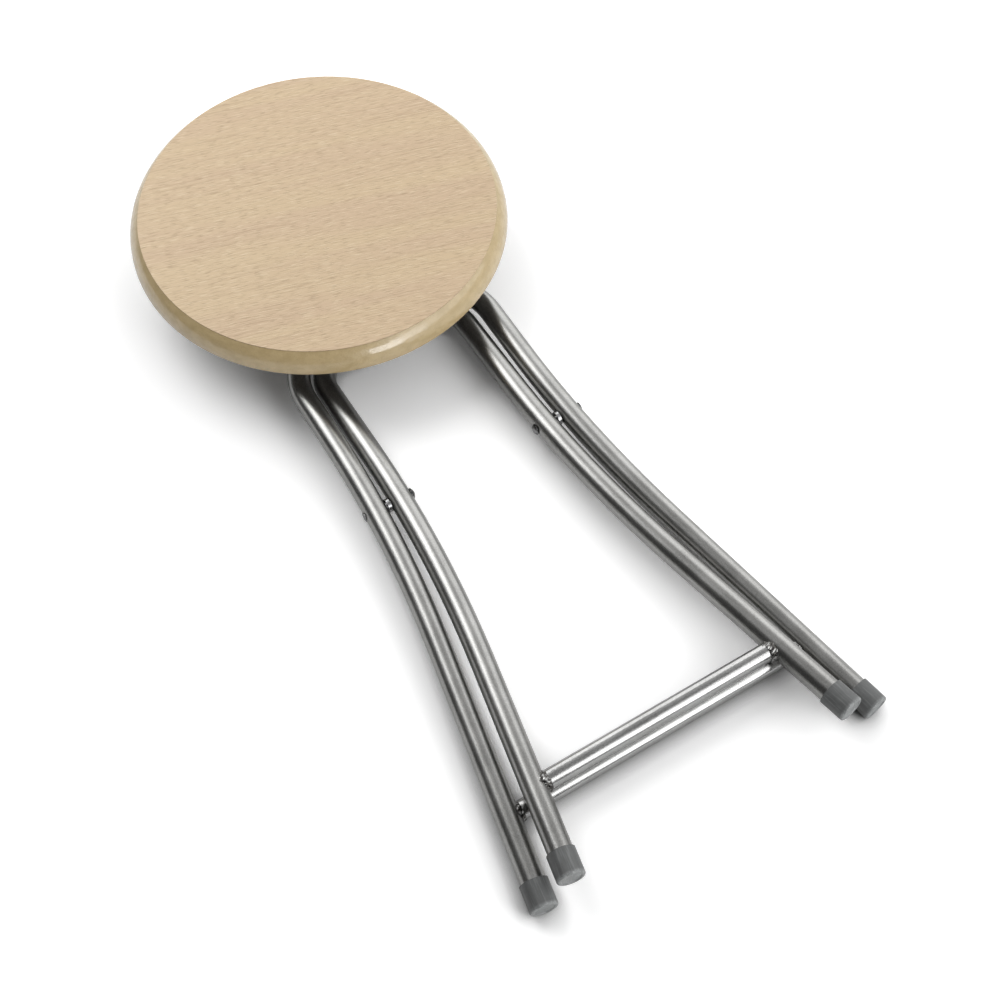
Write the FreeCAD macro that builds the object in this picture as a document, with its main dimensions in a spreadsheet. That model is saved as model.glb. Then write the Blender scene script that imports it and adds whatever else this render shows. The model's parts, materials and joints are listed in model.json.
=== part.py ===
import FreeCAD
import Part
import Sketcher
import os
import re

# Folding stool, lying folded on the floor with its seat up.
# X runs across the stool, Y from the feet to the seat and Z up; the origin is under its middle.

SIZES = {
    # round seat
    "seat_dia": 300.0,
    "seat_thick": 18.0,
    "seat_edge": 8.5,
    "seat_arris": 1.2,
    "foil_thick": 0.7,
    "seat_lead": 75.8,
    # bent leg tubes: each is a U with its legs splayed below the pivot
    "tube_dia": 18.0,
    "tube_wall": 1.2,
    "leg_bend": 1050.0,
    "outer_half": 82.6,
    "outer_rise": 163.0,
    "outer_bend": 50.0,
    "outer_splay": 10.4,
    "outer_kink": 24.0,
    "outer_foot": 316.7,
    # how the inner tube nests in the outer one
    "leg_gap": 2.3,
    "corner_gap": 5.0,
    "lobe_gap": 0.65,
    "inner_splay": 11.0,
    "inner_kink": 49.0,
    "foot_step": 3.6,
    # stretchers and their welds
    "stretcher_dia": 14.0,
    "stretcher_wall": 1.0,
    "outer_stretcher_up": 66.4,
    "inner_stretcher_up": 66.6,
    "stretcher_drop": 2.5,
    "weld_bead": 2.0,
    # foot caps
    "cap_wall": 1.2,
    "cap_length": 19.7,
    "cap_end": 3.0,
    "cap_round": 1.5,
    "cap_rim": 2.6,
    "cap_dish": 0.6,
    # scissor pivot
    "rivet_dia": 6.0,
    "rivet_lip": 1.5,
    "rivet_head_height": 2.0,
    "rivet_peen_lip": 0.8,
    "rivet_peen_height": 0.6,
    "rivet_seat": 0.4,
    "pivot_fit": 0.06,
    "spacer_wall": 2.4,
    "spacer_gap": 0.45,
    # seat rails, with the hinge hole and the fork
    "rail_thick": 2.0,
    "rail_bend": 2.0,
    "rail_inset": 5.6,
    "rail_notch": 11.8,
    "rail_fillet": 6.0,
    "flange_width": 22.0,
    "flange_round": 6.0,
    "hinge_drop": 31.8,
    "hinge_fit": 0.08,
    "hinge_rim": 3.1,
    "fork_gap": 0.3,
    "prong_width": 7.0,
    "prong_drop": 7.4,
    # rail screws
    "screw_dia": 4.0,
    "screw_point": 4.0,
    "screw_cover": 4.0,
    "screw_spare": 1.0,
    "screw_head_height": 2.4,
    "screw_round": 1.3,
    "screw_fit": 0.05,
    "recess_width": 1.0,
    "recess_span": 4.2,
    "recess_rim": 0.6,
    "recess_depth": 1.3,
    # how far it opens, and the gap where the folded legs rest on the outer stretcher
    "open_angle": 60.0,
    "rest_gap": 0.3,
}

# Sizes that follow from those above. With the stool open, the floor line joins the feet and the
# bar line joins the top bars; the fork sits where the seat is level on both bars.
FOLLOWING = {
    "seat_flat": "seat_dia / 2 - seat_edge",
    "inner_half": "outer_half - tube_dia - leg_gap",
    "inner_bend": "outer_bend - tube_dia - corner_gap",
    "inner_foot": "outer_foot - foot_step",
    "outer_stretcher_at": "outer_foot - outer_stretcher_up",
    "inner_stretcher_at": "inner_foot - inner_stretcher_up",
    "cap_dia": "tube_dia + 2 * cap_wall",
    "lobe_radius": "tube_dia / 2 + hinge_fit + hinge_rim",
    "leg_under": "max(tube_dia / 2; stretcher_dia / 2 + weld_bead)",
    "fold_angle": "asin((leg_under + stretcher_dia / 2 + rest_gap - stretcher_drop) / outer_stretcher_at)",
    "bar_spacing": "lobe_radius + tube_dia / 2 + lobe_gap",
    "bar_step": "outer_rise * sin(fold_angle)",
    "inner_rise": "outer_rise * cos(fold_angle) - sqrt(bar_spacing^2 - bar_step^2)",
    "floor_run": "outer_foot - inner_foot * cos(open_angle)",
    "floor_rise": "inner_foot * sin(open_angle)",
    "floor_length": "sqrt(floor_run^2 + floor_rise^2)",
    "bar_run": "outer_rise - inner_rise * cos(open_angle)",
    "bar_rise": "inner_rise * sin(open_angle)",
    "catch_reach": "(bar_run * floor_run + bar_rise * floor_rise) / floor_length",
    "catch_step": "(bar_run * floor_rise - bar_rise * floor_run) / floor_length",
    "catch_drop": "hinge_drop + catch_step",
    "seat_height": "catch_drop + prong_drop",
    "hinge_height": "catch_step + prong_drop",
    "fork_radius": "tube_dia / 2 + fork_gap",
    "fork_half": "fork_radius + prong_width",
    "straight_half": "min(outer_half - outer_bend; inner_half - inner_bend)",
    "rail_half": "straight_half - rail_thick - rail_inset",
    "rail_depth": "hinge_drop - rail_notch",
    "screw_across": "rail_half + (rail_thick + rail_bend + flange_width) / 2",
    "screw_reach": "seat_thick - screw_cover - screw_spare",
    "screw_crown": "recess_span / 2 + recess_rim",
    "screw_head": "screw_crown + screw_round",
    "lie_angle": "asin((hinge_height - cap_dia / 2) / (outer_foot - cap_round + outer_rise))",
    "pivot_height": "hinge_height - outer_rise * sin(lie_angle)",
    "cap_overhang": "cap_round * (1 - cos(outer_splay)) + (cap_dia / 2 - cap_round) * sin(outer_splay)",
    "near_reach": "(outer_foot - outer_rise) * cos(lie_angle) + cap_overhang",
    "pivot_along": "(near_reach - seat_lead - seat_dia / 2) / 2",
    "hinge_along": "pivot_along + outer_rise * cos(lie_angle)",
    "outer_ease": "leg_bend * tan(outer_splay / 2) - outer_kink",
    "inner_ease": "leg_bend * tan(inner_splay / 2) - inner_kink",
    "outer_pivot_across": "outer_half + leg_bend - sqrt(leg_bend^2 - outer_ease^2)",
    "inner_pivot_across": "inner_half + leg_bend - sqrt(leg_bend^2 - inner_ease^2)",
    "outer_stretcher_half": "outer_half + (outer_stretcher_at - outer_kink) * tan(outer_splay)",
    "inner_stretcher_half": "inner_half + (inner_stretcher_at - inner_kink) * tan(inner_splay)",
}

ALONG_X = FreeCAD.Vector(1, 0, 0)
ALONG_Y = FreeCAD.Vector(0, 1, 0)
ALONG_Z = FreeCAD.Vector(0, 0, 1)
SCREWS_PER_RAIL = 3
NEAR = 0.01

doc = FreeCAD.newDocument("folding_stool")
sheet = doc.addObject("Spreadsheet::Sheet", "sizes")
following = doc.addObject("App::VarSet", "following")
nodes = []


def expression(text, inside=False):
    """Size names in a formula, written with the object that holds them."""
    def owner(match):
        word = match.group(0)
        if word in SIZES:
            return "sizes." + word
        if word in FOLLOWING and not inside:
            return "following." + word
        return word
    return re.sub(r"[a-z_]+", owner, text)


def value(text):
    """The number that a formula has now."""
    return float(FreeCAD.Units.Quantity(sheet.evalExpression(expression(text))).Value)


def fill_sizes():
    for row, (name, size) in enumerate(SIZES.items(), start=1):
        sheet.set(f"A{row}", name)
        sheet.set(f"B{row}", str(size))
        sheet.setAlias(f"B{row}", name)
    doc.recompute()
    for name, text in FOLLOWING.items():
        kind = "App::PropertyAngle" if name.endswith("_angle") else "App::PropertyFloat"
        following.addProperty(kind, name)
        following.setExpression(name, expression(text, inside=True))
        doc.recompute()


# Sketches

def sketch(body, name, role, move=("0", "0", "0"), axis=ALONG_Z, turn="0"):
    """A sketch on one of the body's origin planes, moved and turned within it."""
    plane = next(item for item in body.Origin.OriginFeatures if item.Role == role)
    made = body.newObject("Sketcher::SketchObject", name)
    made.AttachmentSupport = [(plane, "")]
    made.MapMode = "FlatFace"
    spin = FreeCAD.Rotation(axis, 1.0) if turn != "0" else FreeCAD.Rotation()
    made.AttachmentOffset = FreeCAD.Placement(FreeCAD.Vector(), spin)
    for letter, text in zip("xyz", move):
        if text != "0":
            made.setExpression(f"AttachmentOffset.Base.{letter}", expression(text))
    if turn != "0":
        made.setExpression("AttachmentOffset.Rotation.Angle", expression(turn))
    return made


def size_constraint(made, constraint, text):
    index = made.addConstraint(constraint)
    made.setExpression(f"Constraints[{index}]", expression(text))


def pin(made, edge, end, x, y):
    """Fixes one point of an edge at (x, y)."""
    for kind, text, across in (("DistanceX", x, -2), ("DistanceY", y, -1)):
        if text == "0":
            made.addConstraint(Sketcher.Constraint("PointOnObject", edge, end, across))
        else:
            size_constraint(made, Sketcher.Constraint(kind, -1, 1, edge, end, value(text)), text)


def stretch(made, start, finish):
    """One line or arc, with its start and end as numbered points. An arc's corner is
    (x, y, radius, side), with side 1 where it bulges to the left of the way it runs."""
    first = FreeCAD.Vector(value(start[0]), value(start[1]), 0)
    last = FreeCAD.Vector(value(finish[0]), value(finish[1]), 0)
    if len(finish) == 2:
        return made.addGeometry(Part.LineSegment(first, last), False), 1, 2
    radius, side = finish[2:]
    chord = last - first
    size = value(radius)
    rise = size - max(size * size - chord.Length ** 2 / 4, 0.0) ** 0.5
    left = FreeCAD.Vector(-chord.y, chord.x, 0).normalize()
    middle = (first + last) * 0.5 + left * (rise * side)
    edge = made.addGeometry(Part.Arc(first, middle, last), False)
    size_constraint(made, Sketcher.Constraint("Radius", edge, size), radius)
    return (edge, 2, 1) if side > 0 else (edge, 1, 2)


def outline(made, corners, closed=True):
    """Lines and arcs from corner to corner."""
    finishes = corners[1:] + corners[:1] if closed else corners[1:]
    edges = [stretch(made, start, finish) for start, finish in zip(corners, finishes)]
    pin(made, edges[0][0], edges[0][1], *corners[0][:2])
    for (edge, _, end), corner in zip(edges, corners[1:]):
        pin(made, edge, end, *corner[:2])
    followers = edges[1:] + edges[:1] if closed else edges[1:]
    for (edge, _, end), (after, start, _) in zip(edges, followers):
        made.addConstraint(Sketcher.Constraint("Coincident", edge, end, after, start))


def circle(made, x, y, radius):
    centre = FreeCAD.Vector(value(x), value(y), 0)
    edge = made.addGeometry(Part.Circle(centre, ALONG_Z, value(radius)), False)
    pin(made, edge, 3, x, y)
    size_constraint(made, Sketcher.Constraint("Radius", edge, value(radius)), radius)


# Features

def new_body(label):
    body = doc.addObject("PartDesign::Body", label)
    body.Label = label
    nodes.append(body)
    return body


def pad(body, name, made, length, reverse=False, both_ways=False):
    feature = body.newObject("PartDesign::Pad", name)
    feature.Profile = made
    feature.SideType = "Symmetric" if both_ways else "One side"
    feature.Reversed = reverse
    feature.setExpression("Length", expression(length))
    doc.recompute()
    return feature


def pocket(body, name, made, length, reverse=False, both_ways=False):
    before = body.Shape.Volume
    feature = body.newObject("PartDesign::Pocket", name)
    feature.Profile = made
    feature.SideType = "Symmetric" if both_ways else "One side"
    feature.Reversed = reverse
    feature.setExpression("Length", expression(length))
    doc.recompute()
    if body.Shape.Volume >= before:
        raise RuntimeError(f"{body.Label}: {name} cuts nothing")
    return feature


def revolve(body, name, made, axis):
    feature = body.newObject("PartDesign::Revolution", name)
    feature.Profile = made
    feature.ReferenceAxis = (made, [axis])
    feature.Angle = 360.0
    doc.recompute()
    return feature


def mirror_across(body, name, feature):
    """Repeats a feature on the other side of the middle plane."""
    made = body.newObject("PartDesign::Mirrored", name)
    made.Originals = [feature]
    made.MirrorPlane = (next(f for f in body.Origin.OriginFeatures if f.Role == "YZ_Plane"), [""])
    body.Tip = made
    doc.recompute()
    return made


# Places

def place(body, along, height, axis=None, angle=None):
    if angle:
        body.Placement = FreeCAD.Placement(FreeCAD.Vector(), FreeCAD.Rotation(axis, 1.0))
        body.setExpression("Placement.Rotation.Angle", expression(angle))
    body.setExpression("Placement.Base.y", expression(along))
    body.setExpression("Placement.Base.z", expression(height))


def place_in_frame(body, frame):
    """Leg frames are drawn flat with the pivot at their origin: the outer one rises a little
    toward the seat, and the inner one lies on the outer stretcher."""
    if frame == "outer":
        place(body, "pivot_along", "pivot_height", ALONG_X, "lie_angle")
    else:
        place(body, "pivot_along", "pivot_height", -ALONG_X, "fold_angle - lie_angle")


def place_under_seat(body):
    place(body, "hinge_along", "seat_height")


# Seat

def seat_board():
    """A fibreboard disc with one rounded edge, and pilot holes for the rail screws."""
    body = new_body("seat_board")
    rise = "(seat_thick - seat_arris)"
    section = sketch(body, "board_section", "XZ_Plane")
    outline(section, [
        ("0", "0"),
        ("seat_dia / 2 - seat_arris", "0"),
        ("seat_dia / 2", "seat_arris", "seat_arris", -1),
        ("seat_flat", "seat_thick", f"(seat_edge^2 + {rise}^2) / (2 * seat_edge)", -1),
        ("0", "seat_thick"),
    ])
    revolve(body, "board_disc", section, "V_Axis")
    holes = sketch(body, "pilot_centres", "XY_Plane")
    for side in (-1, 1):
        for index in range(SCREWS_PER_RAIL):
            along = f"{screw_along(index)} - seat_lead"
            circle(holes, f"{side} * screw_across", along, "screw_dia / 2 + screw_fit")
    pocket(body, "pilot_holes", holes, "seat_thick - screw_cover", reverse=True)
    place(body, "hinge_along + seat_lead", "seat_height")


def seat_top_foil():
    """The thin wood-effect foil on the flat top."""
    body = new_body("seat_top_foil")
    disc = sketch(body, "foil_outline", "XY_Plane")
    circle(disc, "0", "0", "seat_flat")
    pad(body, "foil_disc", disc, "foil_thick")
    place(body, "hinge_along + seat_lead", "seat_height + seat_thick")


# Seat rails

def screw_along(index):
    return f"catch_reach * {index} / {SCREWS_PER_RAIL - 1}"


def rail_strip(body, side):
    """The folded strip against the seat: flange, bend and the top of the web."""
    outside = "rail_thick + rail_bend"
    section = sketch(body, "strip_section", "XZ_Plane", ("0", "0", "lobe_radius"))
    outline(section, [
        (f"{side} * (rail_half + flange_width)", "0"),
        (f"{side} * (rail_half + {outside})", "0"),
        (f"{side} * rail_half", f"-({outside})", outside, -side),
        (f"{side} * rail_half", f"-({outside}) - rail_thick"),
        (f"{side} * (rail_half + rail_thick)", f"-({outside}) - rail_thick"),
        (f"{side} * (rail_half + rail_thick)", f"-({outside})"),
        (f"{side} * (rail_half + {outside})", "-rail_thick", "rail_bend", side),
        (f"{side} * (rail_half + flange_width)", "-rail_thick"),
    ])
    pad(body, "strip", section, "lobe_radius + catch_reach + fork_half", reverse=True)


def rail_web(body, side):
    """The upright web: a lobe round the hinge hole, a shallow bridge, and a fork open below."""
    web = sketch(body, "web_outline", "YZ_Plane", ("0", "0", f"{side} * rail_half"))
    tip = "seat_height - prong_width / 2"
    outline(web, [
        ("-lobe_radius", "-(rail_thick + rail_bend)"),
        ("-lobe_radius", "-hinge_drop"),
        ("0", "-(hinge_drop + lobe_radius)", "lobe_radius", -1),
        ("lobe_radius", "-hinge_drop", "lobe_radius", -1),
        ("lobe_radius", "-(rail_depth + rail_fillet)"),
        ("lobe_radius + rail_fillet", "-rail_depth", "rail_fillet", 1),
        ("catch_reach - fork_half - rail_fillet", "-rail_depth"),
        ("catch_reach - fork_half", "-(rail_depth + rail_fillet)", "rail_fillet", 1),
        ("catch_reach - fork_half", f"-({tip})"),
        ("catch_reach - fork_half + prong_width / 2", "-seat_height", "prong_width / 2", -1),
        ("catch_reach - fork_radius", f"-({tip})", "prong_width / 2", -1),
        ("catch_reach - fork_radius", "-catch_drop"),
        ("catch_reach", "fork_radius - catch_drop", "fork_radius", 1),
        ("catch_reach + fork_radius", "-catch_drop", "fork_radius", 1),
        ("catch_reach + fork_radius", f"-({tip})"),
        ("catch_reach + fork_half - prong_width / 2", "-seat_height", "prong_width / 2", -1),
        ("catch_reach + fork_half", f"-({tip})", "prong_width / 2", -1),
        ("catch_reach + fork_half", "-(rail_thick + rail_bend)"),
    ])
    circle(web, "0", "-hinge_drop", "tube_dia / 2 + hinge_fit")
    pad(body, "web", web, "rail_thick", reverse=side < 0)


def seat_rail(label, side):
    """A pressed-steel rail that hinges on the outer top bar and hooks over the inner one."""
    body = new_body(label)
    rail_strip(body, side)
    rail_web(body, side)
    holes = sketch(body, "flange_centres", "XY_Plane")
    for index in range(SCREWS_PER_RAIL):
        circle(holes, f"{side} * screw_across", screw_along(index), "screw_dia / 2 + screw_fit")
    drilled = pocket(body, "flange_holes", holes, "2 * rail_thick", both_ways=True)
    far = value("rail_half + flange_width") - NEAR
    corners = [
        f"Edge{number}"
        for number, edge in enumerate(drilled.Shape.Edges, start=1)
        if abs(edge.CenterOfMass.x) > far and edge.Length < value("rail_thick") + NEAR
    ]
    rounding = body.newObject("PartDesign::Fillet", "flange_corners")
    rounding.Base = (drilled, corners)
    rounding.setExpression("Radius", expression("flange_round"))
    place_under_seat(body)


def rail_screws(label, side):
    """Three pan-head wood screws up through the flange, heads below it."""
    body = new_body(label)
    section = sketch(body, "screw_section", "XZ_Plane", (f"{side} * screw_across", "0", "0"))
    head = "(rail_thick + screw_head_height)"
    dome = "(screw_round^2 + screw_head_height^2) / (2 * screw_round)"
    outline(section, [
        ("0", f"-{head}"),
        ("screw_crown", f"-{head}"),
        ("screw_head", "-rail_thick", dome, -1),
        ("screw_dia / 2", "-rail_thick"),
        ("screw_dia / 2", "screw_reach - screw_point"),
        ("0", "screw_reach"),
    ])
    turned = revolve(body, "screw_body", section, "V_Axis")
    cross = sketch(body, "recess", "XY_Plane", (f"{side} * screw_across", "0", f"-{head}"))
    arm = "recess_span / 2"
    half = "recess_width / 2"
    outline(cross, [
        (half, half), (arm, half), (arm, f"-{half}"), (half, f"-{half}"),
        (half, f"-{arm}"), (f"-{half}", f"-{arm}"), (f"-{half}", f"-{half}"), (f"-{arm}", f"-{half}"),
        (f"-{arm}", half), (f"-{half}", half), (f"-{half}", arm), (half, arm),
    ])
    recess = pocket(body, "cross_recess", cross, "recess_depth", reverse=True)
    row = body.newObject("PartDesign::LinearPattern", "screw_row")
    row.Originals = [turned, recess]
    row.Direction = (next(f for f in body.Origin.OriginFeatures if f.Role == "Y_Axis"), [""])
    row.setExpression("Length", expression("catch_reach"))
    row.Occurrences = SCREWS_PER_RAIL
    body.Tip = row
    doc.recompute()
    place_under_seat(body)


# Leg frames

def leg_tube(frame):
    """One bent tube: half of it swept from the top bar to a foot, then mirrored."""
    body = new_body(f"{frame}_leg_tube")
    half, rise, bend = f"{frame}_half", f"{frame}_rise", f"{frame}_bend"
    splay, ease = f"{frame}_splay", f"{frame}_ease"
    end = f"({frame}_foot - cap_end * cos({splay}))"
    path = sketch(body, "centre_line", "XY_Plane")
    outline(path, [
        ("0", rise),
        (f"{half} - {bend}", rise),
        (half, f"{rise} - {bend}", bend, 1),
        (half, ease),
        (f"{half} + leg_bend * (1 - cos({splay}))", f"{ease} - leg_bend * sin({splay})", "leg_bend", -1),
        (f"{half} + ({end} - {frame}_kink) * tan({splay})", f"-{end}"),
    ], closed=False)
    ring = sketch(body, "tube_section", "YZ_Plane")
    circle(ring, rise, "0", "tube_dia / 2")
    circle(ring, rise, "0", "tube_dia / 2 - tube_wall")
    doc.recompute()
    pipe = body.newObject("PartDesign::AdditivePipe", "half_tube")
    pipe.Profile = ring
    pipe.Spine = (path, [f"Edge{number}" for number in range(1, 6)])
    doc.recompute()
    mirror_across(body, "whole_tube", pipe)
    hole = sketch(body, "pivot_centre", "YZ_Plane")
    circle(hole, "0", "0", "rivet_dia / 2 + pivot_fit")
    pocket(body, "pivot_holes", hole, f"2 * ({frame}_pivot_across + tube_dia)", both_ways=True)
    place_in_frame(body, frame)


def cope(body, frame, side):
    """Cuts an end to the round of the leg that it meets, square to that leg."""
    move = (f"{side} * {frame}_stretcher_half", "0", f"{frame}_stretcher_at")
    made = sketch(body, "leg_section", "XZ_Plane", move, ALONG_Y * side, f"{frame}_splay")
    circle(made, "0", "0", "tube_dia / 2")
    pocket(body, "cope", made, "2 * (stretcher_dia + 2 * weld_bead)", both_ways=True)


def stretcher(frame, drop):
    """The cross tube near the feet, coped to the legs."""
    body = new_body(f"{frame}_stretcher")
    ring = sketch(body, "stretcher_section", "YZ_Plane")
    circle(ring, f"-{frame}_stretcher_at", drop, "stretcher_dia / 2")
    circle(ring, f"-{frame}_stretcher_at", drop, "stretcher_dia / 2 - stretcher_wall")
    pad(body, "stretcher_tube", ring, f"2 * {frame}_stretcher_half", both_ways=True)
    for side in (-1, 1):
        cope(body, frame, side)
    place_in_frame(body, frame)


def weld(label, frame, side, drop):
    """The weld bead round one end of a stretcher, where it meets the leg."""
    body = new_body(label)
    section = sketch(body, "bead_section", "XY_Plane", ("0", f"-{frame}_stretcher_at", drop))
    flank = f"({frame}_stretcher_half - tube_dia / 2 / cos({frame}_splay))"
    axis = f"{frame}_stretcher_half"
    outline(section, [
        (f"{side} * ({flank} - weld_bead)", "stretcher_dia / 2"),
        (f"{side} * ({flank} + weld_bead)", "stretcher_dia / 2 + weld_bead", "2 * weld_bead", side),
        (f"{side} * {axis}", "stretcher_dia / 2 + weld_bead"),
        (f"{side} * {axis}", "stretcher_dia / 2"),
    ])
    revolve(body, "bead", section, "H_Axis")
    cope(body, frame, side)
    place_in_frame(body, frame)


def foot_cap(label, frame, side):
    """A moulded cup pushed over the end of a leg, with a shallow dish in its sole."""
    body = new_body(label)
    across = f"{side} * ({frame}_half + ({frame}_foot - {frame}_kink) * tan({frame}_splay))"
    sole = (across, f"-{frame}_foot", "0")
    section = sketch(body, "cap_section", "XY_Plane", sole, ALONG_Z * side, f"{frame}_splay")
    outline(section, [
        ("0", "cap_dish"),
        ("cap_dia / 2 - cap_rim - cap_dish", "cap_dish"),
        ("cap_dia / 2 - cap_rim", "0"),
        ("cap_dia / 2 - cap_round", "0"),
        ("cap_dia / 2", "cap_round", "cap_round", -1),
        ("cap_dia / 2", "cap_length"),
        ("tube_dia / 2", "cap_length"),
        ("tube_dia / 2", "cap_end"),
        ("0", "cap_end"),
    ])
    revolve(body, "cap_cup", section, "V_Axis")
    place_in_frame(body, frame)


def dome_radius(reach, height):
    return f"({reach}^2 + {height}^2) / (2 * {height})"


def pivot_rivet(label, side):
    """A rivet through both tubes: a domed head inside, and its end peened nearly flat outside."""
    body = new_body(label)
    inside = "(inner_pivot_across - tube_dia / 2 - rivet_seat)"
    outside = "(outer_pivot_across + tube_dia / 2 + rivet_seat)"
    head = "(rivet_dia / 2 + rivet_lip)"
    peen = "(rivet_dia / 2 + rivet_peen_lip)"
    section = sketch(body, "rivet_section", "XY_Plane")
    outline(section, [
        (f"{side} * ({inside} - rivet_head_height)", "0"),
        (f"{side} * {inside}", head, dome_radius(head, "rivet_head_height"), side),
        (f"{side} * {inside}", "rivet_dia / 2"),
        (f"{side} * {outside}", "rivet_dia / 2"),
        (f"{side} * {outside}", peen),
        (f"{side} * ({outside} + rivet_peen_height)", "0", dome_radius(peen, "rivet_peen_height"), side),
    ])
    revolve(body, "rivet_body", section, "H_Axis")
    place_in_frame(body, "outer")


def pivot_spacer(label, side):
    """A washer on the rivet that keeps the tubes apart."""
    body = new_body(label)
    inside = f"{side} * (inner_pivot_across + tube_dia / 2 + spacer_gap)"
    outside = f"{side} * (outer_pivot_across - tube_dia / 2 - spacer_gap)"
    bore = "rivet_dia / 2 + pivot_fit"
    section = sketch(body, "spacer_section", "XY_Plane")
    outline(section, [
        (inside, bore),
        (outside, bore),
        (outside, f"{bore} + spacer_wall"),
        (inside, f"{bore} + spacer_wall"),
    ])
    revolve(body, "spacer_ring", section, "H_Axis")
    place_in_frame(body, "outer")


def write_parts():
    """Checks every object, then writes one file for each sub-part."""
    doc.recompute()
    for item in doc.Objects:
        if "Invalid" in item.State or "Error" in item.State:
            raise RuntimeError(f"{item.Label} failed: {item.State}")
    for body in nodes:
        if body.Shape.isNull() or not body.Shape.isValid():
            raise RuntimeError(f"{body.Label} has no valid shape")
    os.makedirs("parts", exist_ok=True)
    for body in nodes:
        body.Shape.exportStep(f"parts/{body.Label}.step")
        print(body.Label, len(body.Shape.Solids), "solids", round(body.Shape.Volume), "mm3")


fill_sizes()
seat_board()
seat_top_foil()
for name, side in (("left", -1), ("right", 1)):
    seat_rail(f"seat_rail_{name}", side)
    rail_screws(f"rail_screws_{name}", side)
    pivot_rivet(f"pivot_rivet_{name}", side)
    pivot_spacer(f"pivot_spacer_{name}", side)
for frame, drop in (("outer", "-stretcher_drop"), ("inner", "0")):
    leg_tube(frame)
    stretcher(frame, drop)
    for name, side in (("left", -1), ("right", 1)):
        weld(f"{frame}_weld_{name}", frame, side, drop)
        foot_cap(f"{frame}_cap_{name}", frame, side)
write_parts()
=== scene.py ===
# %% [markdown]
# A folding stool, dressed for its picture. It lies folded on the floor with its seat up: a round
# wood-faced board, two nested U-shaped tubes that scissor on rivets, two cross stretchers with weld
# beads at their ends, and grey push-on foot caps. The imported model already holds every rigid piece
# at its real size, so this lesson keeps those meshes and gives them finishes. It remakes only the
# weld beads, because a bead is a lumpy casting that a drawn fillet can't show.

# %% Load the frame
import json
import math

import bmesh
import bpy
from mathutils import Matrix, Vector, noise

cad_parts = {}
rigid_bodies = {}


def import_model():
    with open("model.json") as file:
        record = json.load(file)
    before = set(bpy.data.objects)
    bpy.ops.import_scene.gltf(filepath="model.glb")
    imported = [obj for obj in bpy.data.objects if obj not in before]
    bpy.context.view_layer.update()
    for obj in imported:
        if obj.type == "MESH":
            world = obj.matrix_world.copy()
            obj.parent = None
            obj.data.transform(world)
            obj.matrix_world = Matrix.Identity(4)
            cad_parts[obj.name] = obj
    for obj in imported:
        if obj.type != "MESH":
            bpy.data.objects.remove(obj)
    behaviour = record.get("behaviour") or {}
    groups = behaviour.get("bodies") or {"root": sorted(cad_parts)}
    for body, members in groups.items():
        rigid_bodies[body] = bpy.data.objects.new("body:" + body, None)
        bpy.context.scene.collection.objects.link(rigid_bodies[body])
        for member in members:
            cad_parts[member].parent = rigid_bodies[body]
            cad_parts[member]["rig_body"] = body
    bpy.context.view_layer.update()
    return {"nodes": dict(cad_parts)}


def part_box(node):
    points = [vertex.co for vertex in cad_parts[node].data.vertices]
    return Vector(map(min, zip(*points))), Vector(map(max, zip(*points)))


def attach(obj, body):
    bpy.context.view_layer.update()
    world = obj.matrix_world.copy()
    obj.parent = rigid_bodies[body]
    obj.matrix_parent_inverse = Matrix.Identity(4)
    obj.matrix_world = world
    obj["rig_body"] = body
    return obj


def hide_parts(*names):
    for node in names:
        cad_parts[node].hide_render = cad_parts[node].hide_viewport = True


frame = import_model()
nodes = frame["nodes"]
scene = bpy.context.scene

# %% [markdown]
# The camera stands over the feet, a little to the left, and looks down at about 59 degrees. A studio
# photographer would choose a short telephoto lens so that the seat stays nearly round. The place and
# angles below put the seat's rim, the four caps and the stretchers where the picture has them.

# %% Camera
camera_place = Vector((-0.3282, -0.62133, 1.07267))
camera_heading = math.radians(-30.88)
camera_tilt = math.radians(31.15)
camera_roll = math.radians(-0.575)
camera_lens = 59.69
camera_sensor = 36.0

camera_data = bpy.data.cameras.new("camera")
camera_data.lens = camera_lens
camera_data.sensor_width = camera_sensor
camera = bpy.data.objects.new("camera", camera_data)
turn = Matrix.Rotation(camera_heading, 4, "Z") @ Matrix.Rotation(camera_tilt, 4, "X")
camera.matrix_world = Matrix.Translation(camera_place) @ turn @ Matrix.Rotation(camera_roll, 4, "Z")
scene.collection.objects.link(camera)
scene.camera = camera
scene.view_settings.view_transform = "Standard"
print("camera at", tuple(round(v, 3) for v in camera_place))

# %% [markdown]
# A finish is a sum of small ideas: a base colour, plus bands, minus flecks, times wear. Written as
# nodes by hand, each plus or times is four lines. The class below wraps one socket of a node tree,
# so the same idea is one Python expression and still ends up as ordinary nodes that can be opened
# in the shader editor.

# %% Shader expressions
class Wire:
    """One output socket of a node tree, on which Python's operators add Math nodes."""

    def __init__(self, tree, socket=None):
        self.tree = tree
        self.socket = socket

    def node(self, kind, settings=None, values=None, output=0):
        """Adds a node: its settings first, then its sockets' values or links. Returns one output."""
        made = self.tree.nodes.new(kind)
        for name, value in (settings or {}).items():
            setattr(made, name, value)
        for name, value in (values or {}).items():
            socket = pick(made.inputs, name)
            if isinstance(value, Wire):
                self.tree.links.new(value.socket, socket)
            else:
                socket.default_value = value
        return Wire(self.tree, pick(made.outputs, output) if made.outputs else None)

    def math(self, operation, first, second=0.0):
        return self.node("ShaderNodeMath", {"operation": operation}, {0: first, 1: second})

    def __add__(self, other):
        return self.math("ADD", self, other)

    def __sub__(self, other):
        return self.math("SUBTRACT", self, other)

    def __rsub__(self, other):
        return self.math("SUBTRACT", other, self)

    def __mul__(self, other):
        return self.math("MULTIPLY", self, other)

    __radd__ = __add__
    __rmul__ = __mul__


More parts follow.
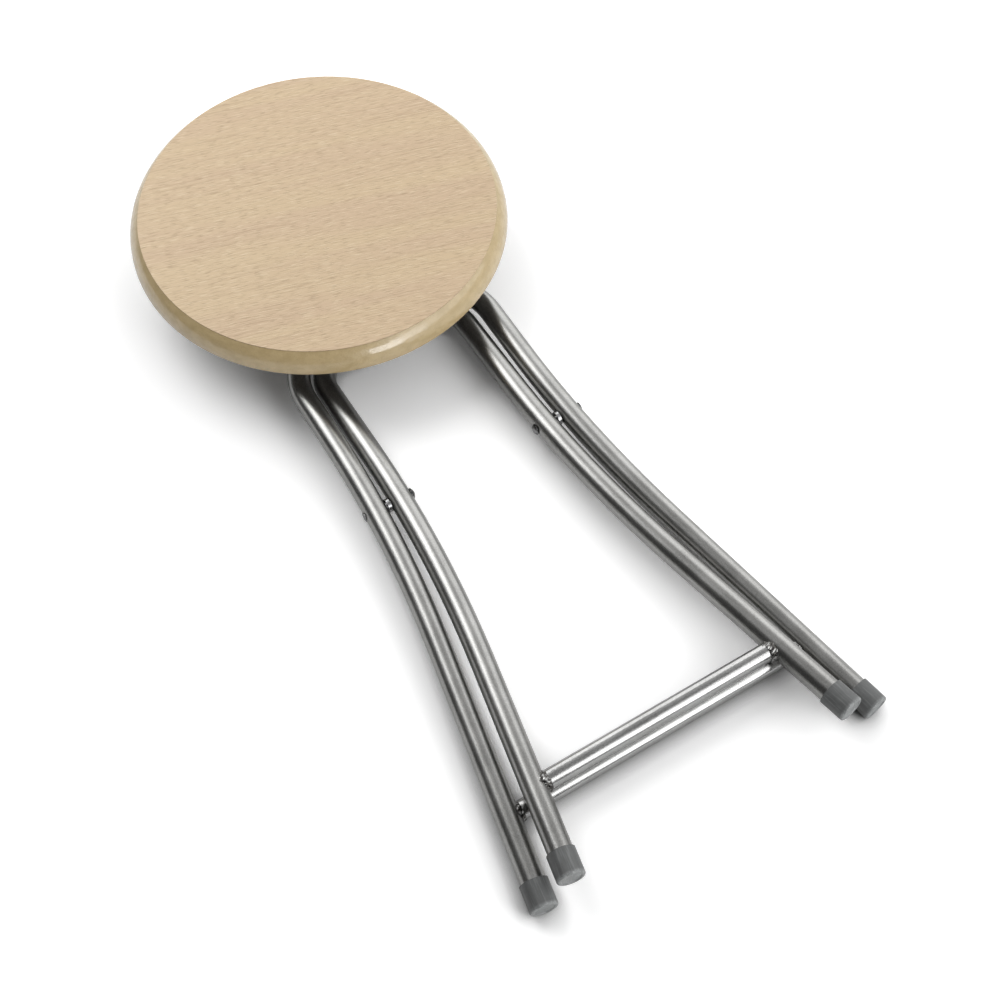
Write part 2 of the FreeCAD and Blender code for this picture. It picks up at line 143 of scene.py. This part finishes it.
def pick(sockets, key):
    """A socket by its number, or the first one in use by its name."""
    if isinstance(key, int):
        return sockets[key]
    return next(socket for socket in sockets if socket.name == key and socket.enabled)


# %% [markdown]
# Four tools do most of the work in every finish. A field is smooth noise with features of a stated
# size, which may be longer one way than another. A soft step turns it into patches, flecks or lines,
# a blend colours them, and a bump lets them catch the light.

# %% Fields, steps, blends and bumps
def even(value):
    """The same value on all three axes."""
    return (value, value, value)


def field(wire, place, size, turn=0.0, detail=2.0, roughness=0.5, centre=(0, 0, 0)):
    """Smooth noise from 0 to 1 whose features measure `size` metres along the turned axes."""
    values = {"Vector": place, "Location": centre, "Rotation": (0, 0, turn), "Scale": size}
    spot = wire.node("ShaderNodeMapping", {"vector_type": "TEXTURE"}, values)
    values = {"Vector": spot, "Scale": 1.0, "Detail": detail, "Roughness": roughness}
    return wire.node("ShaderNodeTexNoise", None, values)


def step(wire, low, high):
    """A soft step: 0 below low, 1 above high."""
    values = {"Value": wire, "From Min": low, "From Max": high}
    return wire.node("ShaderNodeMapRange", {"interpolation_type": "SMOOTHSTEP"}, values)


def blend(factor, first, second):
    """A mix of two colours."""
    colours = [c if isinstance(c, Wire) else (*c, 1.0) for c in (first, second)]
    settings = {"data_type": "RGBA", "clamp_factor": True}
    values = {"Factor": factor, "A": colours[0], "B": colours[1]}
    return factor.node("ShaderNodeMix", settings, values, "Result")


def bump(wire, height, distance):
    """A normal tilted by a height that stands for `distance` metres."""
    return wire.node("ShaderNodeBump", None, {"Height": height, "Distance": distance})


# %% [markdown]
# Every finish starts from the same bare shader, and its noise is laid out in the piece's own space,
# so it stays in place when the stool unfolds. A finish then goes to one or more nodes of the frame.

# %% Making and giving finishes
def new_finish(name):
    """A material with a bare Principled shader, the wire to build on, and the place on the piece."""
    material = bpy.data.materials.new(name)
    material.use_nodes = True
    tree = material.node_tree
    shader = tree.nodes["Principled BSDF"]
    wire = Wire(tree)
    place = wire.node("ShaderNodeTexCoord", None, None, "Object")
    return material, shader, wire, place


def plug(shader, **inputs):
    """Sets the shader's sockets by name, with underscores for spaces: a number, a colour or a wire."""
    for name, value in inputs.items():
        socket = shader.inputs[name.replace("_", " ")]
        if isinstance(value, Wire):
            value.tree.links.new(value.socket, socket)
        else:
            socket.default_value = value


def dress(material, *names):
    """Gives a finish to nodes of the frame."""
    for name in names:
        mesh = nodes[name].data
        mesh.materials.clear()
        mesh.materials.append(material)
    print("finish", material.name, "on", ", ".join(names))


# %% [markdown]
# The seat's top is a printed beech foil under satin lacquer. Beech shows four things at different
# sizes: broad bands that drift from yellow to pink, a few long reddish lines, and thousands of short
# dark flecks and pale glints, each about a millimetre wide and a centimetre long. All of them run
# with the grain, which lies about 15 degrees off the stool's width. Each is noise stretched along
# that one angle. The grain isn't ruler-straight, so a slow noise first sways the place it is read at.

# %% Beech foil
MM = 0.001
seat_low, seat_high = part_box("seat_top_foil")
seat_centre = (seat_low + seat_high) / 2
grain_turn = math.radians(-15.5)
grain_depth = 50 * MM
grain_sway = 2.5 * MM


def beech_foil():
    material, shader, wire, place = new_finish("beech_foil")
    wander = field(wire, place, (55 * MM, 20 * MM, grain_depth), grain_turn, 1.0) - 0.5
    sway = wire.node("ShaderNodeCombineXYZ", None, {"Y": wander * grain_sway})
    swayed = wire.node("ShaderNodeVectorMath", {"operation": "ADD"}, {0: place, 1: sway}, "Vector")

    def grain(along, across, detail):
        size = (along * MM, across * MM, grain_depth)
        return field(wire, swayed, size, grain_turn, detail, centre=seat_centre)

    bands = step(grain(380, 30, 3), 0.36, 0.64)
    lines = step(grain(150, 1.7, 2), 0.53, 0.68)
    fleck = step(grain(9, 0.85, 1), 0.53, 0.68)
    glint = step(grain(12, 1.0, 1), 0.54, 0.70)
    wood = blend(bands, (0.547, 0.414, 0.256), (0.528, 0.388, 0.253))
    wood = blend(lines * 0.42, wood, (0.40, 0.278, 0.170))
    wood = blend(fleck * 0.60, wood, (0.37, 0.268, 0.165))
    wood = blend(glint * 0.54, wood, (0.66, 0.535, 0.36))
    relief = bump(wire, glint - fleck - 0.5 * lines, 0.05 * MM)
    plug(shader, Base_Color=wood, Roughness=0.40 + 0.12 * fleck + 0.06 * bands, Normal=relief)
    plug(shader, Specular_IOR_Level=0.45)
    return material


dress(beech_foil(), "seat_top_foil")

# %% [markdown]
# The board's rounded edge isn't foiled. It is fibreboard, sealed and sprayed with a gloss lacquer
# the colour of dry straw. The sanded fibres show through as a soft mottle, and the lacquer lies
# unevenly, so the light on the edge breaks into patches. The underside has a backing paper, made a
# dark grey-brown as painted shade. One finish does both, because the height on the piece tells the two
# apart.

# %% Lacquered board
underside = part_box("seat_board")[0].z
paper_from = underside + 0.2 * MM
paper_to = underside + 0.9 * MM


def lacquered_board():
    material, shader, wire, place = new_finish("lacquered_board")
    height = wire.node("ShaderNodeSeparateXYZ", None, {"Vector": place}, "Z")
    under = 1 - step(height, paper_from, paper_to)
    mottle = field(wire, place, (9 * MM, 9 * MM, 5 * MM), detail=3)
    fibre = field(wire, place, even(1.1 * MM))
    tint = step(mottle, 0.35, 0.65)
    edge = blend(tint, (0.452, 0.345, 0.185), (0.405, 0.306, 0.156))
    edge = blend(step(fibre, 0.55, 0.75) * 0.35, edge, (0.30, 0.222, 0.108))
    # The underside's dark grey-brown is a backing paper darkened as painted shade.
    shaded_backing_paper = blend(fibre, (0.13, 0.12, 0.105), (0.18, 0.165, 0.145))
    waves = field(wire, place, (3.4 * MM, 3.4 * MM, 2.4 * MM))
    relief = bump(wire, waves + 0.2 * fibre, 0.34 * MM)
    plug(shader, Base_Color=blend(under, edge, shaded_backing_paper), Roughness=0.30 + 0.1 * tint + 0.35 * under)
    plug(shader, Normal=relief, Coat_Weight=0.8 - 0.8 * under, Coat_Roughness=0.12)
    return material


dress(lacquered_board(), "seat_board")

# %% [markdown]
# The tubes are steel under silver paint. Silver paint is clear lacquer full of aluminium flakes, so
# it mirrors the room in a blurred, rather dark way, and each flake tilts a little. A metallic
# surface with medium roughness gives the blur. Fine noise in its colour and roughness stands for
# the flakes, and slow noise for the paint's thick and thin places. The stretchers shine more, so
# the same function makes a paler, glossier paint for them.

# %% Silver paint
def silver_paint(name, colour, roughness, peel):
    """Paint of one colour and roughness, with an orange-peel skin `peel` millimetres high."""
    material, shader, wire, place = new_finish(name)
    flakes = field(wire, place, even(0.8 * MM), detail=3, roughness=0.7)
    cloud = field(wire, place, even(22 * MM))
    orange_peel = field(wire, place, even(2.2 * MM), detail=1)
    dark = tuple(0.80 * c for c in colour)
    light = tuple(1.18 * c for c in colour)
    paint = blend(step(0.75 * flakes + 0.25 * cloud, 0.36, 0.64), dark, light)
    plug(shader, Base_Color=paint, Roughness=roughness + 0.10 * (flakes - 0.5) + 0.06 * (cloud - 0.5))
    plug(shader, Metallic=1.0, Normal=bump(wire, orange_peel + 0.25 * flakes, peel * MM))
    return material


leg_paint = silver_paint("silver_paint", (0.330, 0.328, 0.318), roughness=0.30, peel=0.012)
stretcher_paint = silver_paint("silver_paint_gloss", (0.40, 0.40, 0.395), roughness=0.18, peel=0.006)
dress(leg_paint, "outer_leg_tube", "inner_leg_tube")
dress(stretcher_paint, "outer_stretcher", "inner_stretcher")

# %% [markdown]
# The foot caps are soft grey plastic pushed over the tube ends. They are matt with a faint shine, a
# little dusty and streaked along their length from being pushed on. Their soles are paler, partly from
# scuffing and partly as painted light from the front on the end faces. The legs splay, so each cap
# points its own way. The faces of its sole tell which way that is, and the streaks and the paler end
# follow it.

# %% Foot caps
sole_facing = 0.95
pale_sole_from = 0.5 * MM
pale_sole_to = 3.5 * MM


def cap_axis(cap):
    """The way from a cap's sole up its leg, from the faces of the sole."""
    faces = [face for face in nodes[cap].data.polygons if face.normal.y < -sole_facing]
    down = sum((face.normal * face.area for face in faces), Vector())
    return -down.normalized()


def grey_cap(cap):
    material, shader, wire, place = new_finish("grey_" + cap)
    axis = cap_axis(cap)
    foot = min(axis.dot(vertex.co) for vertex in nodes[cap].data.vertices)
    lean = math.atan2(-axis.x, axis.y)
    along = wire.node("ShaderNodeVectorMath", {"operation": "DOT_PRODUCT"}, {0: place, 1: axis}, "Value")
    sole = 1 - step(along, foot + pale_sole_from, foot + pale_sole_to)
    dust = field(wire, place, even(3.5 * MM), detail=3)
    grit = field(wire, place, even(0.9 * MM))
    streak = field(wire, place, (1.2 * MM, 18 * MM, 1.2 * MM), lean)
    # The paler sole and its pale specks are partly scuffing and partly painted light falling on the end face
    # from the front.
    scuff_and_light = sole * (0.55 + 0.45 * step(dust, 0.40, 0.70))
    plastic = blend(dust, (0.070, 0.072, 0.071), (0.092, 0.095, 0.095))
    plastic = blend(step(streak, 0.50, 0.70) * 0.6, plastic, (0.14, 0.145, 0.145))
    plastic = blend(scuff_and_light * 0.85, plastic, (0.23, 0.24, 0.24))
    plastic = blend(sole * step(grit, 0.52, 0.70) * 0.5, plastic, (0.34, 0.35, 0.35))
    plug(shader, Base_Color=plastic, Roughness=0.34 + 0.16 * dust + 0.04 * scuff_and_light)
    plug(shader, Normal=bump(wire, grit + 0.8 * dust + 0.6 * streak, 0.04 * MM))
    return material


caps = ["outer_cap_left", "outer_cap_right", "inner_cap_left", "inner_cap_right"]
for cap in caps:
    dress(grey_cap(cap), cap)

# %% [markdown]
# Spacers and screws are bright zinc: a thin plating with a fine satin grain, a cold tint and darker
# stains. The rivets have the same plating made darker as painted shade, so one function makes both
# from two colours. The seat rails are pressed from plated sheet. They are more even, with faint rolling
# lines along their length, and have a finish of their own.

# %% Zinc and rail steel
def zinc_plate(name, clean, stained):
    material, shader, wire, place = new_finish(name)
    satin = field(wire, place, even(0.25 * MM))
    stain = field(wire, place, even(3.0 * MM))
    metal = blend(step(stain, 0.38, 0.62), clean, stained)
    plug(shader, Base_Color=metal, Roughness=0.16 + 0.14 * satin + 0.08 * stain, Metallic=1.0)
    plug(shader, Normal=bump(wire, satin, 0.01 * MM))
    return material


def rail_steel():
    material, shader, wire, place = new_finish("rail_steel")
    rolling = field(wire, place, (0.5 * MM, 40 * MM, 0.5 * MM))
    bloom = field(wire, place, even(12 * MM), detail=3)
    metal = blend(bloom, (0.52, 0.525, 0.54), (0.44, 0.44, 0.43))
    plug(shader, Base_Color=metal, Roughness=0.28 + 0.12 * rolling + 0.12 * bloom, Metallic=1.0)
    plug(shader, Normal=bump(wire, rolling, 0.01 * MM))
    return material


bright_zinc = zinc_plate("zinc", (0.50, 0.505, 0.515), (0.30, 0.30, 0.295))
# The rivets' darker plating is painted shade.
shade_darkened_zinc = zinc_plate("zinc_dull", (0.24, 0.24, 0.24), (0.12, 0.12, 0.118))
dress(bright_zinc, "pivot_spacer_left", "pivot_spacer_right", "rail_screws_left", "rail_screws_right")
dress(shade_darkened_zinc, "pivot_rivet_left", "pivot_rivet_right")
dress(rail_steel(), "seat_rail_left", "seat_rail_right")

# %% [markdown]
# A weld bead is metal that froze while it flowed: ripples across its run, lumps where the torch
# paused, and small balls of spatter beside it. A drawn fillet is the right size but too clean. A
# bead could be sculpted by hand, but steps in code come out the same each time. So each bead starts
# as a copy of that fillet, drawn in toward the stretcher, and takes a few balls along its ring. The
# lot is remeshed into one skin. Every point is then pushed along its normal by ripples round the
# stretcher and by noise.

# %% Shaping a weld bead
bead_voxel = 0.32 * MM
bead_flare = 0.45
drop_lift = 0.2
ripple_count = 15
ripple_slant = 900  # radians per metre along the stretcher
ripple_height = 0.10 * MM
lump_height = 0.55 * MM
lump_size = 2.2 * MM


def rough_bead(node, middle, ring, drops):
    """The drawn fillet, slimmed to its flare, with a ball for each drop."""
    outward = math.copysign(1.0, middle.x)
    mesh = bmesh.new()
    mesh.from_mesh(nodes[node].data)
    for vertex in mesh.verts:
        arm = vertex.co - middle
        arm.x = 0.0
        spare = max(arm.length - ring, 0.0)
        vertex.co -= arm.normalized() * spare * (1 - bead_flare)
    for angle, way, radius in drops:
        out = Vector((0, math.cos(math.radians(angle)), math.sin(math.radians(angle))))
        spot = middle + out * (ring + drop_lift * radius * MM) - Vector((outward * way * MM, 0, 0))
        bmesh.ops.create_icosphere(mesh, subdivisions=2, radius=radius * MM, matrix=Matrix.Translation(spot))
    rough = bpy.data.meshes.new(node + "_rough")
    mesh.to_mesh(rough)
    mesh.free()
    return rough


def one_skin(bead):
    """Turns a bead's overlapping shapes into one closed skin."""
    remesh = bead.modifiers.new("one_skin", "REMESH")
    remesh.mode = "VOXEL"
    remesh.voxel_size = bead_voxel
    remesh.use_smooth_shade = True
    shape = bead.evaluated_get(bpy.context.evaluated_depsgraph_get())
    bead.data = bpy.data.meshes.new_from_object(shape)
    bead.modifiers.clear()
    bead.data.name = bead.name


def roughen(mesh, middle):
    """Pushes a bead's points in and out by ripples and lumps."""
    normals = [vertex.normal.copy() for vertex in mesh.vertices]
    for vertex, normal in zip(mesh.vertices, normals):
        arm = vertex.co - middle
        turn = math.atan2(arm.z, arm.y)
        ripple = ripple_height * math.sin(ripple_count * turn + ripple_slant * arm.x)
        lump = lump_height * noise.noise(vertex.co / lump_size)
        vertex.co += normal * (ripple + lump)


# %% [markdown]
# The beads' metal is bright, with patches of soot. No two beads are alike, so each has its own short
# list of drops instead of one pattern for all four. A finished bead takes the place of the drawn one
# and moves with the same body.

# %% Weld beads
def weld_finish():
    material, shader, wire, place = new_finish("weld_bead")
    skin = field(wire, place, even(0.8 * MM))
    soot = field(wire, place, even(2.5 * MM))
    metal = blend(skin, (0.36, 0.36, 0.355), (0.20, 0.20, 0.195))
    metal = blend(step(soot, 0.40, 0.54), metal, (0.07, 0.067, 0.063))
    plug(shader, Base_Color=metal, Roughness=0.16 + 0.14 * skin, Metallic=1.0)
    plug(shader, Normal=bump(wire, skin, 0.02 * MM))
    return material


def weld_bead(node, drops):
    """A lumpy bead in place of the drawn one.
    Each drop is its turn round the stretcher in degrees, its way along it and its radius in mm."""
    low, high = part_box(node)
    middle = (low + high) / 2
    tube_low, tube_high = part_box(node.split("_")[0] + "_stretcher")
    ring = (tube_high.z - tube_low.z) / 2
    bead = bpy.data.objects.new(node + "_bead", rough_bead(node, middle, ring, drops))
    scene.collection.objects.link(bead)
    one_skin(bead)
    roughen(bead.data, middle)
    bead.data.materials.clear()
    bead.data.materials.append(weld_metal)
    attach(bead, nodes[node]["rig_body"])
    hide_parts(node)
    print("bead", bead.name, len(bead.data.vertices), "points")


weld_metal = weld_finish()
weld_drops = {
    "inner_weld_right": [(150, 0.4, 1.6), (175, 1.0, 1.4), (200, 0.2, 1.3), (55, 6.0, 0.9), (62, 2.6, 1.0)],
    "inner_weld_left": [(150, 0.6, 1.3), (115, 0.9, 1.0), (180, 0.8, 1.2), (60, 1.2, 0.9)],
    "outer_weld_right": [(65, 0.4, 1.5), (95, 1.8, 1.3), (125, 0.4, 1.5), (90, -1.0, 1.6)],
    "outer_weld_left": [(90, 0.8, 1.0), (130, 1.6, 0.8), (45, 1.2, 1.0)],
}
for weld, drops in weld_drops.items():
    weld_bead(weld, drops)

# %% [markdown]
# The floor is white paper, exposed until only the shadows mark it. Plain white behind the stool would
# be simpler, but no shadow would fall on it. Ambient occlusion over about a centimetre darkens the
# paper where a tube or a cap touches. The camera sees it brighter than it is, as in a picture printed
# with a clean background, while the tubes mirror its true tone. Far away and from below, the camera
# sees through it, so the stool can be looked at from any side.

# %% Floor paper
paper_albedo = 0.86
paper_cloud = 0.02
cloud_size = 0.4
print_gain = 1.42
contact_reach = 12 * MM
floor_solid = 0.8
floor_gone = 1.5


def floor_paper():
    material, shader, wire, place = new_finish("floor_white")
    cloud = field(wire, place, even(cloud_size))
    contact = wire.node("ShaderNodeAmbientOcclusion", {"samples": 8}, {"Distance": contact_reach}, "AO")
    seen = wire.node("ShaderNodeLightPath", None, None, "Is Camera Ray")
    tone = (paper_albedo + paper_cloud * cloud) * contact * (1 + (print_gain - 1) * seen)
    reach = wire.node("ShaderNodeVectorMath", {"operation": "LENGTH"}, {0: place}, "Value")
    below = wire.node("ShaderNodeNewGeometry", None, None, "Backfacing")
    fade = seen * wire.math("MAXIMUM", below, step(reach, floor_solid, floor_gone))
    plug(shader, Base_Color=tone, Alpha=1 - fade, Roughness=1.0, Specular_IOR_Level=0.0)
    return material


# %% [markdown]
# The stool lies folded on the floor, but when it is opened its feet swing far below, so the floor
# has to drop under them. A driver could move it, but a small geometry node tree is easier to read:
# it takes the lowest corner of the feet and of the inner bar, wherever they are, and shifts the
# floor's mesh down to that height.

# %% Floor
floor_half = 4.0


def lowest(wire, name):
    """The height of a node's lowest point, wherever its body has moved it."""
    relative = {"transform_space": "RELATIVE"}
    shape = wire.node("GeometryNodeObjectInfo", relative, {"Object": nodes[name]}, "Geometry")
    corner = wire.node("GeometryNodeBoundBox", None, {"Geometry": shape}, "Min")
    return wire.node("ShaderNodeSeparateXYZ", None, {"Vector": corner}, "Z")


def drop_under(floor, *names):
    """Keeps the floor level at the lowest of the named nodes, and never above its own height."""
    tree = bpy.data.node_groups.new("floor_under_feet", "GeometryNodeTree")
    tree.interface.new_socket("Geometry", in_out="INPUT", socket_type="NodeSocketGeometry")
    tree.interface.new_socket("Geometry", in_out="OUTPUT", socket_type="NodeSocketGeometry")
    wire = Wire(tree)
    sheet = wire.node("NodeGroupInput", None, None, "Geometry")
    height = lowest(wire, names[0])
    for name in names[1:]:
        height = wire.math("MINIMUM", height, lowest(wire, name))
    shift = wire.node("ShaderNodeCombineXYZ", None, {"Z": wire.math("MINIMUM", height, 0.0)})
    moved = wire.node("GeometryNodeTransform", None, {"Geometry": sheet, "Translation": shift})
    wire.node("NodeGroupOutput", None, {"Geometry": moved})
    floor.modifiers.new("under_feet", "NODES").node_group = tree


def make_floor(half):
    mesh = bpy.data.meshes.new("floor")
    corners = [(-half, -half, 0), (half, -half, 0), (half, half, 0), (-half, half, 0)]
    mesh.from_pydata(corners, [], [(0, 1, 2, 3)])
    mesh.materials.append(floor_paper())
    floor = bpy.data.objects.new("floor", mesh)
    scene.collection.objects.link(floor)
    drop_under(floor, "outer_cap_left", "inner_cap_left", "inner_leg_tube")
    print("floor", 2 * half, "m wide")


make_floor(floor_half)

# %% [markdown]
# Light is what the silver paint shows, so it is placed by the bands on the tubes. A large softbox
# behind and to the left, with a hotter middle, draws the bright line along every leg. A broad weak
# one at the back right gives the legs their grey right side. In front, a broad one opens the shadows
# and a strip draws the line along the stretchers. The last, low in front, makes the glint on the
# board's edge and lights the soles. It is kept off everything else, as a studio flag would do, so
# that it doesn't fill the shadows on the floor.

# %% Softboxes
light_aim = Vector((0.0, -0.02, 0.03))


def softbox(name, azimuth, elevation, distance, spread, tall, radiance):
    """A soft rectangular light, placed and sized by its angles as seen from the stool.
    The azimuth runs from +Y to +X."""
    turn, rise = math.radians(azimuth), math.radians(elevation)
    away = Vector((math.sin(turn) * math.cos(rise), math.cos(turn) * math.cos(rise), math.sin(rise)))
    data = bpy.data.lights.new(name, "AREA")
    data.shape = "RECTANGLE"
    data.size = 2 * distance * math.tan(math.radians(spread / 2))
    data.size_y = 2 * distance * math.tan(math.radians(tall / 2))
    data.energy = radiance * math.pi * data.size * data.size_y
    light = bpy.data.objects.new(name, data)
    facing = away.to_track_quat("Z", "Y").to_matrix().to_4x4()
    light.matrix_world = Matrix.Translation(light_aim + away * distance) @ facing
    scene.collection.objects.link(light)
    print("softbox", name, "radiance", radiance)
    return light


def only_on(light, *names):
    """Keeps a light off everything but the named nodes."""
    lit = bpy.data.collections.new("lit_by_" + light.name)
    for name in names:
        lit.objects.link(nodes[name])
    light.light_linking.receiver_collection = lit


softbox("key", azimuth=-22, elevation=46, distance=1.9, spread=44, tall=36, radiance=2.2)
softbox("key_core", azimuth=-24, elevation=50, distance=1.7, spread=26, tall=22, radiance=2.1)
softbox("fill", azimuth=45, elevation=28, distance=2.0, spread=66, tall=44, radiance=1.35)
softbox("front", azimuth=136, elevation=36, distance=1.9, spread=62, tall=40, radiance=1.45)
softbox("front_strip", azimuth=161, elevation=26, distance=1.7, spread=18, tall=28, radiance=2.4)
glint = softbox("front_glint", azimuth=178, elevation=19, distance=1.7, spread=18, tall=24, radiance=8.0)
only_on(glint, "seat_board", *caps)

# %% [markdown]
# The room fills what the softboxes leave. It is pale all round, a little darker overhead, and nearly
# black on the left up to a good height, which gives the tubes their dark flanks and the floor its
# shadows. Walls could be built for this, but soft steps over the direction are enough for what the
# tubes mirror. The background that the camera sees is plain white.

# %% Room
room_glow = 0.66
left_darkness = 0.60
left_azimuth = math.radians(-112)
left_edge = (0.0, 0.30)
left_top = (0.80, 0.95)
top_darkness = 0.25
top_edge = (0.85, 0.96)
backdrop_glow = 1.12


def make_room():
    world = bpy.data.worlds.new("room")
    world.use_nodes = True
    tree = world.node_tree
    tree.nodes.clear()
    wire = Wire(tree)
    way = wire.node("ShaderNodeTexCoord", None, None, "Generated")
    rise = wire.node("ShaderNodeSeparateXYZ", None, {"Vector": way}, "Z")
    left = (math.sin(left_azimuth), math.cos(left_azimuth), 0.0)
    toward = wire.node("ShaderNodeVectorMath", {"operation": "DOT_PRODUCT"}, {0: way, 1: left}, "Value")
    dark = step(toward, *left_edge) * (1 - step(rise, *left_top))
    glow = room_glow - left_darkness * dark - top_darkness * step(rise, *top_edge)
    seen = wire.node("ShaderNodeLightPath", None, None, "Is Camera Ray")
    strength = seen * backdrop_glow + (1 - seen) * glow
    shader = wire.node("ShaderNodeBackground", None, {"Color": (1, 1, 1, 1), "Strength": strength})
    wire.node("ShaderNodeOutputWorld", None, {"Surface": shader})
    scene.world = world
    print("room glow", room_glow, "and", round(room_glow - left_darkness, 2), "on the left")


make_room()
